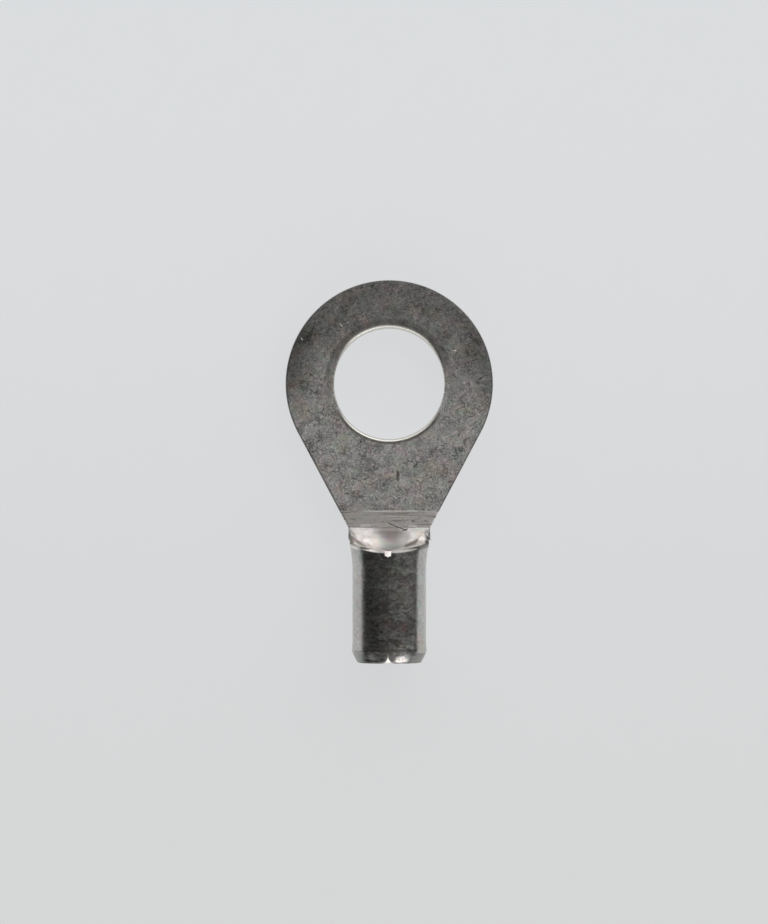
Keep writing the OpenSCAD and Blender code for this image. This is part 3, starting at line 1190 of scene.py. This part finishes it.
@dataclass(frozen=True)
class TinPlate:
    """The tin plate: matte on the flat tongue, burnished where the dies rubbed it, with painted
    light and shade in its colour.
    """

    effects: Effects
    tongue: Colour = (0.64, 0.625, 0.612)
    # painted light: the tongue's tones, darker on the far ring and lighter near the neck
    tongue_light_tones: Span = (0.77, 1.22)
    throat: Colour = (0.7, 0.675, 0.67)
    barrel: Colour = (0.545, 0.54, 0.525)
    pit: Colour = (0.13, 0.125, 0.12)
    shade: Colour = (0.45, 0.46, 0.45)
    # painted shade for the wire end's bevel
    bevel: Colour = (0.09, 0.09, 0.085)
    # painted highlight (left) and painted shade (right) for the band at the mouth
    mouth_highlight: Colour = (0.9, 0.86, 0.81)
    mouth_shade: Colour = (0.31, 0.3, 0.285)
    # partly the cut edge's own dark break, partly painted shade on its rounded edge
    cut_edge_and_shade: Colour = (0.1, 0.095, 0.09)
    # painted highlight on the hole's burnished edge
    lit_hole_edge: Colour = (0.7, 0.68, 0.63)
    # painted shade for the ring just outside the hole's edge
    hole_ring_shade: Colour = (0.17, 0.165, 0.15)
    line_light: Colour = (0.95, 0.91, 0.88)
    line_dark: Colour = (0.25, 0.24, 0.23)
    tongue_rough: float = 0.44
    throat_rough: float = 0.48
    barrel_rough: float = 0.2
    hole_edge_rough: float = 0.28
    mottle_size: float = 0.9
    tarnish_size: float = 0.52
    skin_size: float = 0.24
    worms: float = 0.45
    crumple: float = 2.6
    line_depth: float = 3.2
    dent_depth: float = 2.5
    bump: float = 7e-6
    marks: tuple[Mark, ...] = (
        Mark((-0.12, -8.05), (0.98, -8.5), 0.055, (0.06, 0.055, 0.05), 0.95, -0.6),
        Mark((0.78, -8.52), (1.05, -8.42), 0.07, (0.08, 0.07, 0.07), 0.8, -0.4),
        Mark((0.48, -5.12), (0.5, -5.56), 0.15, (0.12, 0.11, 0.1), 0.8, -0.6),
        Mark((-1.2, -4.42), (-0.85, -4.52), 0.26, (0.22, 0.22, 0.22), 0.5, -0.3),
        Mark((2.38, -6.5), (2.5, -6.7), 0.08, (0.16, 0.15, 0.15), 0.6, -0.3),
        Mark((1.33, -7.96), (1.42, -7.97), 0.08, (0.12, 0.12, 0.1), 0.7, -0.3),
        Mark((2.05, -7.93), (2.22, -7.97), 0.06, (0.12, 0.11, 0.12), 0.7, -0.3),
        Mark((-2.86, 3.46), (-2.74, 3.32), 0.07, (0.95, 0.95, 0.9), 0.9, 0.8),
        Mark((-5.1, 2.62), (-5.04, 2.55), 0.06, (0.95, 0.95, 0.9), 0.9, 0.8),
        Mark((3.72, 1.92), (3.84, 1.92), 0.06, (0.95, 0.92, 0.95), 0.9, 0.8),
        # painted shadow under the edges of the barrel's wings, on each side of the throat
        Mark((-2.15, -8.9), (-1.4, -9.42), 0.17, (0.27, 0.22, 0.18), 0.85),
        Mark((0.98, -9.36), (1.6, -9.06), 0.15, (0.27, 0.21, 0.17), 0.85),
        Mark((0.74, -13.88), (0.86, -14.08), 0.36, (0.42, 0.2, 0.18), 0.5),
        Mark((2.13, -8.55), (2.2, -8.9), 0.2, (0.4, 0.39, 0.38), 0.85, -0.4),
        Mark((2.19, -8.82), (2.25, -8.95), 0.09, (0.08, 0.08, 0.08), 0.9, -0.6),
        Mark((-1.35, -15.92), (-0.7, -15.98), 0.09, (0.015, 0.015, 0.013), 0.95),
        Mark((-2.0, -15.42), (-1.5, -15.46), 0.07, (0.2, 0.2, 0.18), 0.7),
    )

    def paint_stretches(self, s: Sheet) -> Value:
        """The colour of the tongue, the throat and the barrel, mottled, with painted light and
        shade on the tongue and the throat.

        Args:
            s: where the point is.

        Returns:
            The colour.
        """
        w, base = s.wires, self.throat
        # Painted light: the tongue is lighter near the neck and darker on the far ring.
        tongue = w.blend(s.near_neck, *(tone(self.tongue, times) for times in self.tongue_light_tones))
        # Painted light and shade in the throat's tones: lighter at the middle of the bend line,
        # towards the mouth and on both sides; darker in the middle, most on the right, and at the
        # bend's sides.
        at_bend = w.ease(s.v, 0.3, 0.1)
        middle = w.blend(w.ease(s.x, 0.1, 0.5), tone(base, 0.78), tone(base, 0.68))
        middle = w.blend(at_bend, middle, tone(base, 1.38))
        side = w.blend(at_bend, tone(base, 0.97), tone(base, 0.84))
        throat = w.coats(
            middle, (w.ease(abs(s.x), 1.0, 1.4), side), (w.ease(s.v, 0.5, 1.0), tone(base, 1.42)),
            (w.ease(s.x, -1.5, -1.8) * w.ease(s.v, 0.3, 0.5), tone(base, 1.42)),
            (w.ease(s.x, 1.1, 1.4) * w.ease(s.v, 0.25, 0.4), tone(base, 1.2)),
        )
        return w.group(self.effects.mottle, {
            "Vector": s.at, "Base": w.coats(tongue, (s.throat, throat), (s.barrel, self.barrel)),
            "Tint": 0.4, "Contrast": s.flat * 0.6 + s.barrel * 0.35 + 0.15,
            "Size": self.mottle_size,
        })

    def weather_and_shade(self, s: Sheet, colour: Value, pits: Value) -> Value:
        """Adds tarnish, pits and painted shade on the outer band of the ring's far half.

        Args:
            s: where the point is.
            colour: what is painted over.
            pits: where the skin has pits, from 0 to 1.

        Returns:
            The new colour.
        """
        w = s.wires
        depth = s.flat * w.ease(s.y, 5.0, -4.0, (1.15, 1.3))
        depth = depth + s.barrel * w.ease(s.crown, 0.0, 1.0, (0.4, 0.75))
        depth = depth * w.ease(s.neck, 0.0, 1.0, (1.0, 0.3))
        colour = w.scaled(colour, w.group(self.effects.tarnish, {
            "Vector": s.at, "Size": self.tarnish_size, "Depth": depth,
        }))
        colour = w.blend(pits * s.flat * 0.22, colour, self.pit)
        # Painted shade: the outer band of the ring's far half is darkened, most on its left and
        # least at its far end.
        outward = s.flat * w.ease(s.radius, 4.2, 5.7) * w.ease(s.y, -3.0, 1.0)
        outward = outward * w.ease(s.x, -4.0, 3.0, (0.95, 0.5)) * w.ease(s.y, 4.5, 2.5, (0.3, 1.0))
        return w.blend(outward, colour, w.blend(1.0, colour, self.shade, "MULTIPLY"))

    def smudges_and_painted_light(self, s: Sheet, colour: Value) -> Value:
        """Adds smudges on the barrel, painted shade on the bevel and a painted highlight and shade
        along the band at the mouth.

        Args:
            s: where the point is.
            colour: what is painted over.

        Returns:
            The new colour.
        """
        w = s.wires
        smudges = w.noise(w.vector("MULTIPLY", s.at, (1.0, 1.7, 1.0)), 1.8, 2.2, 0.55, twist=1.2)
        left_of_seam = w.ease(s.x, -0.78, -0.5, (0.9, 1.0))
        smudged = w.scaled(colour, w.ease(smudges, 0.3, 0.7, (0.62, 1.45)) * left_of_seam)
        # Painted shade on the wire end's bevel, deeper on the left and spared at a highlight spot
        # right of the seam.
        bright = w.window(s.x, 0.45, 0.85, 0.2) * w.window(s.y, -15.98, -15.72, 0.08) * 0.7
        shaded_bevel = s.barrel * w.ease(s.v, 7.12, 7.26) * w.ease(s.x, 1.8, -1.2, (0.54, 0.93))
        shaded_bevel = shaded_bevel * w.ease(s.x, -1.75, -1.35, (0.45, 1.0)) * (1.0 - bright)
        # Painted light on the slanted band along the mouth: a highlight on its left, shade on its
        # right.
        band = s.outside * w.ease(s.rim, 0.22, 0.17) * w.window(s.v, 0.8, 1.75, 0.1)
        mouth = w.blend(w.ease(s.x, -1.2, -0.5), self.mouth_highlight, self.mouth_shade)
        return w.coats(colour, (s.barrel * s.crown, smudged), (shaded_bevel, self.bevel), (band, mouth))

    def finish_edges(self, s: Sheet, colour: Value) -> Value:
        """Adds dark cut edges, partly painted shade, the hole's burnished edge with a painted
        highlight above and below the hole, a ring of painted shade round the hole, and tool lines.

        Args:
            s: where the point is.
            colour: what is painted over.

        Returns:
            The new colour.
        """
        w = s.wires
        # The outer cut edge is darkened: partly the bare break's own colour, partly painted shade
        # on the rounded edge.
        outer_edge = s.flat * w.ease(s.rim, 0.13, 0.03) * w.ease(s.radius, 3.6, 4.2)
        # Painted shade: a dark ring just outside the hole's edge, stronger towards the ring's far
        # side.
        ring = w.window(s.radius, 3.56, 3.7, 0.12) * w.ease(s.y, -2.6, 3.0)
        return w.coats(
            colour, (outer_edge * 0.75, self.cut_edge_and_shade), (s.lit_hole_edge, self.lit_hole_edge),
            (ring * 0.42, self.hole_ring_shade),
            (s.neck * w.ease(s.lines, 0.38, 0.58) * 0.85, self.line_light),
            (s.neck * w.ease(s.lines, 0.45, 0.33) * 0.75, self.line_dark),
        )

    def raise_surface(self, s: Sheet, skin: Value) -> Value:
        """Adds the barrel's crumpled crown and the tool lines to the skin.

        Args:
            s: where the point is.
            skin: the height of the skin, from 0 to 1.

        Returns:
            The height, in bump depths.
        """
        w = s.wires
        skin = skin * w.ease(s.flat, 0.0, 1.0, (0.28, 1.0))
        skin = skin * w.ease(s.lit_hole_edge, 0.0, 1.0, (1.0, 0.2))
        lumps = w.noise(w.vector("MULTIPLY", s.at, (1.0, 1.25, 1.0)), 2.0, 1.6, 0.5, twist=1.6)
        crown = w.ease(s.x, -1.2, 0.3, (0.3, 0.75)) * w.ease(s.x, 1.4, 0.8) * w.ease(s.v, 7.2, 6.9)
        return skin + lumps * s.barrel * crown * self.crumple + s.lines * s.neck * self.line_depth

    def roughen(self, s: Sheet) -> Value:
        """The roughness: matte at the neck, smoother on the barrel and at the hole's edge.

        Args:
            s: where the point is.

        Returns:
            The roughness.
        """
        w = s.wires
        rough = w.ease(s.near_neck, 0.0, 1.0, (self.tongue_rough - 0.02, self.tongue_rough + 0.07))
        for mask, amount in ((s.throat, self.throat_rough), (s.barrel, self.barrel_rough),
                             (s.lit_hole_edge, self.hole_edge_rough)):
            rough = w.blend(mask, rough, (amount,) * 3)
        return rough + w.ease(w.noise(s.at, 3.5, 3.0, 0.6), 0.3, 0.7, (-0.05, 0.06))

    def dress(self) -> bpy.types.Material:
        """Builds the material.

        Returns:
            The material, for the terminal's sheet.
        """
        material, w = Wiring.material("tin_plate")
        s = Sheet(w)
        skin = w.read_all("Group", {"node_tree": self.effects.skin},
                          {"Vector": s.at, "Size": self.skin_size, "Worms": self.worms})
        colour = self.weather_and_shade(s, self.paint_stretches(s), skin["Pits"])
        colour = self.finish_edges(s, self.smudges_and_painted_light(s, colour))
        lift = self.raise_surface(s, skin["Height"])
        for mark in self.marks:
            mask = s.upward * w.group(self.effects.mark, {
                "Vector": s.plan, "Width": mark.width,
                "Start": (*mark.start, 0.0), "End": (*mark.end, 0.0),
            })
            colour = w.blend(mask * mark.strength, colour, mark.colour)
            if mark.dent:
                lift = lift + mask * (mark.dent * self.dent_depth)
        w.metal(colour, self.roughen(s), lift, self.bump)
        return material


@dataclass(frozen=True)
class BrazeAlloy:
    """The braze along the seam: smooth and darker than the tin, with a painted highlight in the
    notches at its ends.
    """

    effects: Effects
    colour: Colour = (0.3, 0.3, 0.29)
    # painted highlight for the notches
    bright: Colour = (0.66, 0.645, 0.63)
    roughness: float = 0.28
    bump: float = 3e-6

    def dress(self) -> bpy.types.Material:
        """Builds the material.

        Returns:
            The material, for the braze.
        """
        material, w = Wiring.material("braze_alloy")
        at = w.millimetres()
        y = w.parts(at)[1]
        # Painted highlight: the braze is lighter in the notches at both ends.
        lit_notches = w.ease(y, -10.04, -9.97) | w.ease(y, -15.7, -15.8)
        colour = w.group(self.effects.mottle, {
            "Vector": at, "Base": w.blend(lit_notches, self.colour, self.bright),
            "Tint": 0.4, "Contrast": 0.5, "Size": 0.6,
        })
        height = w.group(self.effects.skin, {"Vector": at, "Size": 0.2, "Worms": 0.2}, "Height")
        rough = w.ease(w.noise(at, 4.0), 0.3, 0.7, (self.roughness - 0.05, self.roughness + 0.08))
        w.metal(colour, rough, height, self.bump)
        return material


# ---------------------------------------------------------------- the object


@dataclass
class RingTerminal:
    """The whole terminal: its sheet, the braze in its seam and the burr at its bend."""

    blank: Blank = field(default_factory=Blank)

    def build(self) -> list[bpy.types.Object]:
        """Builds and dresses every piece.

        Returns:
            The pieces.
        """
        forming = Forming(self.blank)
        effects = Effects.build()
        plate = self.blank.stamp()
        forming.form(plate)
        plate.name = plate.data.name = "terminal_sheet"
        Bench.outward(plate)
        braze, burr = SeamBraze(forming).build(), EdgeBurr(self.blank).build()
        tin = TinPlate(effects).dress()
        alloy = BrazeAlloy(effects).dress()
        for piece, finish, crease in ((plate, tin, 35), (braze, alloy, 40), (burr, alloy, 60)):
            piece.data.materials.clear()
            piece.data.materials.append(finish)
            Bench.hold(piece)
            bpy.ops.object.shade_smooth_by_angle(angle=math.radians(crease))
        return [plate, braze, burr]


# ---------------------------------------------------------------- the studio


@dataclass(frozen=True)
class PaleCard:
    """Pale matte card. Part of its paleness is its own, so that its shadows stay soft."""

    dim: Colour = (0.79, 0.80, 0.805)
    light: Colour = (0.81, 0.82, 0.825)
    glow_near: Colour = (0.757, 0.762, 0.767)
    glow_far: Colour = (0.80, 0.82, 0.84)
    glow_share: float = 0.78
    glow_y: Span = (-0.03, 0.02)
    flag: Colour = (0.05, 0.05, 0.05)
    flag_right: Span = (0.022, 0.034)
    flag_left: Span = (-0.036, -0.048)
    grain: float = 420.0
    roughness: float = 0.85
    specular: float = 0.2

    def dress(self) -> bpy.types.Material:
        """Builds the material, which mirrors as a dark flag on each side of the terminal.

        Returns:
            The material, for the floor.
        """
        material, w = Wiring.material("pale_card")
        at = w.read("TexCoord", out="Object")
        x, y, _ = w.parts(at)
        grain = w.ease(w.noise(at, self.grain, 3.0, 0.6), 0.3, 0.7)
        shader = w.read("BsdfPrincipled", inputs={
            "Base Color": w.blend(grain, self.dim, self.light),
            "Roughness": self.roughness, "Specular IOR Level": self.specular,
        })
        glow = w.blend(w.ease(y, *self.glow_y), self.glow_near, self.glow_far)
        path = w.read_all("LightPath")
        seen = path["Is Camera Ray"] | path["Is Glossy Ray"] | path["Is Transmission Ray"]
        flags = path["Is Glossy Ray"] * (w.ease(x, *self.flag_right) | w.ease(x, *self.flag_left))
        for share, colour in ((seen * self.glow_share, glow), (flags, self.flag)):
            light = w.read("Emission", inputs={"Color": colour, "Strength": 1.0})
            shader = w.read("MixShader", inputs={0: share, 1: shader, 2: light})
        w.add("OutputMaterial", inputs={"Surface": shader})
        return material


@dataclass(frozen=True)
class Softbox:
    """A lamp: its side of the terminal, how high it hangs, how tall it is, and its watts."""

    name: str
    side: int
    height: float
    tall: float
    watts: float


@dataclass
class Studio:
    """Floor, lamps, surroundings and camera, in metres."""

    floor_z: float
    sides: int = 96
    flat_r: float = 0.75
    rim_r: float = 1.05
    rim_h: float = 0.05
    rim_steps: int = 8
    lamp_away: float = 0.5
    lamp_w: float = 1.1
    lamps: tuple[Softbox, ...] = (
        Softbox("softbox_back", 1, 0.25, 0.44, 0.7), Softbox("softbox_front", -1, 0.09, 0.2, 1.0),
    )
    sky: Colour = (1.0, 0.99, 0.98)
    lens: float = 200.0
    clip: Span = (0.01, 10.0)
    camera_h: float = 0.298
    aim: Span = (-0.000305, -0.004525)

    def build_floor(self) -> bpy.types.Object:
        """A wide pale floor whose rim curves up into a low backdrop all round.

        Returns:
            The floor.
        """
        Bench.clear()
        bpy.ops.mesh.primitive_circle_add(vertices=self.sides, radius=self.flat_r, fill_type="NGON",
                                          location=(0.0, 0.0, self.floor_z))
        floor = bpy.context.active_object
        floor.name = floor.data.name = "floor"
        Bench.edit(floor, "EDGE", everything=True)
        bpy.ops.mesh.region_to_loop()
        radius, height = self.flat_r, 0.0
        for step in range(1, self.rim_steps + 1):
            turn = step / self.rim_steps * math.pi / 2
            new_r = self.flat_r + (self.rim_r - self.flat_r) * math.sin(turn)
            new_h = self.rim_h * (1 - math.cos(turn))
            bpy.ops.mesh.extrude_edges_move(
                TRANSFORM_OT_translate={"value": (0.0, 0.0, new_h - height)})
            scale = new_r / radius
            bpy.ops.transform.resize(value=(scale, scale, 1.0),
                                     center_override=(0.0, 0.0, self.floor_z + new_h))
            radius, height = new_r, new_h
        Bench.close()
        Bench.hold(floor)
        bpy.ops.object.transform_apply(location=True, rotation=True, scale=True)
        bpy.ops.object.shade_smooth_by_angle(angle=math.radians(40))
        floor.data.materials.append(PaleCard().dress())
        return floor

    def build_lamps(self) -> None:
        """Hangs a wide softbox beyond the ring and a lower one beyond the wire end."""
        for box in self.lamps:
            Bench.clear()
            bpy.ops.object.light_add(
                type="AREA", location=(0.0, box.side * self.lamp_away, box.height))
            lamp = bpy.context.active_object
            lamp.name = lamp.data.name = box.name
            lamp.data.shape = "RECTANGLE"
            lamp.data.size, lamp.data.size_y = self.lamp_w, box.tall
            lamp.data.energy = box.watts
            lamp.rotation_euler = (-lamp.location).to_track_quat("-Z", "Y").to_euler()

    def build_surroundings(self) -> None:
        """Surroundings that are dim overhead and to the sides, and lighter beyond both ends."""
        world = bpy.data.worlds.new("studio")
        bpy.context.scene.world = world
        world.use_nodes = True
        w = Wiring(world.node_tree)
        x, y, z = w.parts(w.read("TexCoord", out="Generated"))
        below_top = w.ease(z, 0.93, 0.6)
        around = y + w.ease(x, 0.0, 0.6, (0.0, 0.13))
        back = w.ease(around, 0.2, 0.62) * w.ease(x, -0.7, 0.4, (0.55, 1.15)) * below_top
        front = w.ease(y, -0.25, -0.65) * w.ease(x, -0.6, 0.3, (0.15, 0.5)) * below_top
        level = w.ease(x, -0.8, 0.5, (0.048, 0.13)) + (back + front)
        shade = w.read("Background", inputs={"Color": self.sky, "Strength": level})
        w.add("OutputWorld", inputs={"Surface": shade})

    def build_camera(self) -> bpy.types.Object:
        """A long lens that looks straight down."""
        Bench.clear()
        bpy.ops.object.camera_add(location=(*self.aim, self.camera_h), rotation=(0.0, 0.0, 0.0))
        camera = bpy.context.active_object
        camera.name = camera.data.name = "camera"
        camera.data.lens = self.lens
        camera.data.clip_start, camera.data.clip_end = self.clip
        bpy.context.scene.camera = camera
        return camera

    def build(self) -> bpy.types.Object:
        """Sets the studio up.

        Returns:
            The floor.
        """
        self.build_lamps()
        self.build_surroundings()
        self.build_camera()
        bpy.context.scene.view_settings.view_transform = "Standard"
        return self.build_floor()


def main() -> None:
    """Builds the terminal and its studio, and reports each piece."""
    logging.basicConfig(level=logging.INFO, format="%(name)s: %(message)s")
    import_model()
    cad_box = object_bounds()
    for piece in RingTerminal().build():
        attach(piece, BODY)
        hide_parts(NODE)
        log.info("%s: %d faces, %d triangles, %d open edges", piece.name, *Bench.measure(piece))
    Studio(cad_box[0].z).build()


if __name__ == "__main__":
    main()
